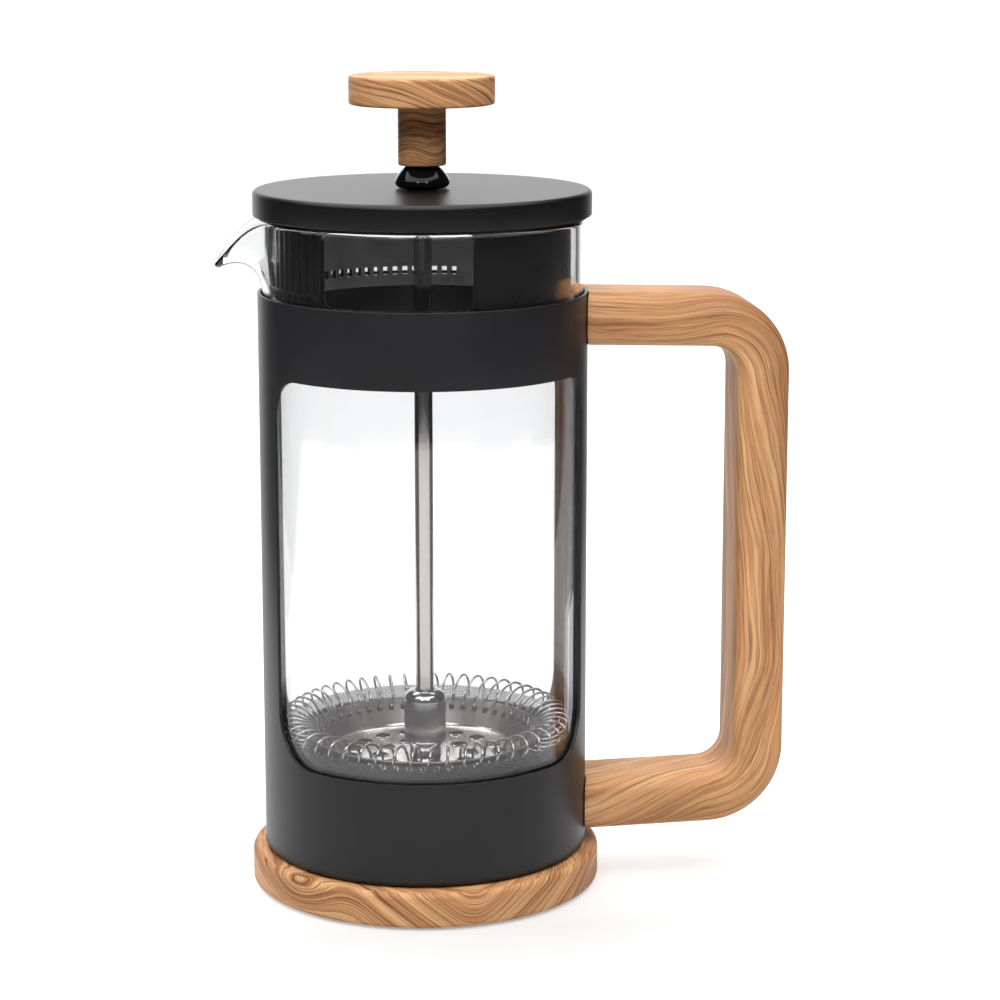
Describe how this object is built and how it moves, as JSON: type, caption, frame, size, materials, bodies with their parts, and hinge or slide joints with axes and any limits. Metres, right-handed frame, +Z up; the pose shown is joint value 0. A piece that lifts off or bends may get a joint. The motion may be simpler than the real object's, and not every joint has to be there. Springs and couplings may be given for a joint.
{
  "type": "french press coffee maker",
  "caption": "Cylindrical plunger coffee press with a spouted glass beaker in a windowed sleeve, round base, bow handle, turning strainer lid and sprung filter stack.",
  "frame": {"origin": "centre of the underside of the non-slip pad, on the beaker's axis, on the surface the press stands on", "axes": "+Z up along the beaker's axis, +X towards the handle, -X towards the spout, and the holder's windows face -Y and +Y"},
  "size_m": [0.1445, 0.0896, 0.207],
  "materials": {
    "wood": "satin, streaked light oak grain",
    "black_powder_coat": "matte black powder coat",
    "black_plastic": "semi-matte black",
    "gloss_black": "gloss black",
    "rubber": "matte black",
    "glass": "clear borosilicate",
    "polished_steel": "polished stainless",
    "spring_steel": "bright drawn wire",
    "mesh_steel": "fine woven wire",
    "zinc": "zinc plated",
    "brass": "turned"
  },
  "bodies": {
    "holder": {"base_disc": "wood", "non_slip_pad": "rubber", "base_screw_1": "zinc", "base_screw_2": "zinc", "base_screw_3": "zinc", "holder_sleeve": "black_powder_coat", "holder_floor": "zinc", "glass_cushion": "rubber", "handle": "wood", "handle_insert_upper": "brass", "handle_insert_lower": "brass", "handle_screw_upper": "zinc", "handle_screw_lower": "zinc"},
    "beaker": {"glass_beaker": "glass"},
    "lid_guide": {"guide_bush": "gloss_black", "guide_nut": "zinc"},
    "lid": {"lid_cap": "black_powder_coat", "strainer_collar": "black_plastic"},
    "plunger": {"knob": "wood", "knob_insert": "brass", "plunger_rod": "polished_steel", "hub_nut": "polished_steel"},
    "filter": {"spring_plate": "polished_steel", "coil_spring": "spring_steel", "mesh_screen": "mesh_steel"},
    "cross": {"cross_plate": "polished_steel"}
  },
  "joints": [
    {"name": "beaker_lift", "type": "slide", "parent": "holder", "child": "beaker", "axis": [0, 0, 1], "range_m": [0, 0.16]},
    {"name": "lid_lift", "type": "slide", "parent": "beaker", "child": "lid_guide", "axis": [0, 0, 1], "range_m": [0, 0.16]},
    {"name": "lid_turn", "type": "hinge", "parent": "lid_guide", "child": "lid", "pos_m": [0, 0, 0.1757], "axis": [0, 0, 1], "continuous": true},
    {"name": "plunger_slide", "type": "slide", "parent": "lid_guide", "child": "plunger", "axis": [0, 0, 1], "range_m": [0, 0.105]},
    {"name": "filter_drop", "type": "slide", "parent": "plunger", "child": "filter", "axis": [0, 0, -1], "range_m": [0, 0.007]},
    {"name": "cross_plate_turn", "type": "hinge", "parent": "filter", "child": "cross", "pos_m": [0, 0, 0.0304], "axis": [0, 0, -1], "range_deg": [0, 3600]}
  ],
  "couplings": [
    {"joint": "filter_drop", "follows": "cross_plate_turn", "m_per_rad": 0.00011141}
  ]
}
